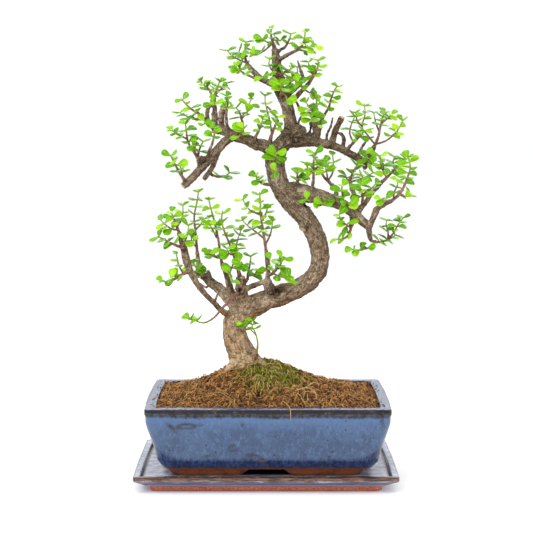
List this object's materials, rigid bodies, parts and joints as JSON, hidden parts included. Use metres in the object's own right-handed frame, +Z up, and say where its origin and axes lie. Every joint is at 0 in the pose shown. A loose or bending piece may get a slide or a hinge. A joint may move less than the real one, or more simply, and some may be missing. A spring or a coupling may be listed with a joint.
{
  "type": "dwarf jade bonsai",
  "caption": "Dwarf jade bonsai with an S-curved trunk and small fleshy leaves, in a glazed rectangular pot on its matching drip saucer.",
  "frame": {"origin": "on the ground, under the middle of the saucer", "axes": "+Z up; the long side of the pot along X, and -Y towards the side that the picture shows"},
  "size_m": [0.2953, 0.199, 0.4776],
  "materials": {
    "pot_glaze": "gloss",
    "saucer_glaze": "gloss",
    "soil": "matte",
    "bark": "matte",
    "leaf": "satin",
    "screen_plastic": "matte"
  },
  "bodies": {
    "root": {"basal_spray": "leaf", "bough_middle_spray": "leaf", "bough_top_spray": "leaf", "bough_under_spray": "leaf", "crown_far_right_spray": "leaf", "crown_front_spray": "leaf", "crown_inner_spray": "leaf", "crown_left_spray": "leaf", "crown_low_left_spray": "leaf", "crown_middle_spray": "leaf", "crown_right_spray": "leaf", "crown_side_spray": "leaf", "crown_top_right_spray": "leaf", "crown_top_spray": "leaf", "drain_screen_left": "screen_plastic", "drain_screen_right": "screen_plastic", "left_drop_spray": "leaf", "left_end_spray": "leaf", "left_front_spray": "leaf", "left_hook_spray": "leaf", "left_inner_spray": "leaf", "left_out_spray": "leaf", "left_top_back_spray": "leaf", "left_top_spray": "leaf", "left_under_spray": "leaf", "long_low_spray": "leaf", "low_back_spray": "leaf", "low_drop_spray": "leaf", "low_front_spray": "leaf", "low_inner_spray": "leaf", "low_left_spray": "leaf", "low_riser_spray": "leaf", "low_tip_spray": "leaf", "middle_face_spray": "leaf", "middle_front_spray": "leaf", "middle_left_spray": "leaf", "middle_low_spray": "leaf", "middle_right_spray": "leaf", "middle_riser_spray": "leaf", "middle_spray": "leaf", "pot": "pot_glaze", "right_arch_spray": "leaf", "right_dense_spray": "leaf", "right_drop_spray": "leaf", "right_end_spray": "leaf", "right_face_spray": "leaf", "right_far_spray": "leaf", "right_front_spray": "leaf", "right_inner_rise_spray": "leaf", "right_inner_spray": "leaf", "right_long_spray": "leaf", "right_low_spray": "leaf", "right_rise_spray": "leaf", "right_shoot_spray": "leaf", "right_top_spray": "leaf", "saucer": "saucer_glaze", "soil": "soil", "trunk": "bark", "trunk_front_spray": "leaf", "trunk_left_spray": "leaf"}
  },
  "joints": []
}
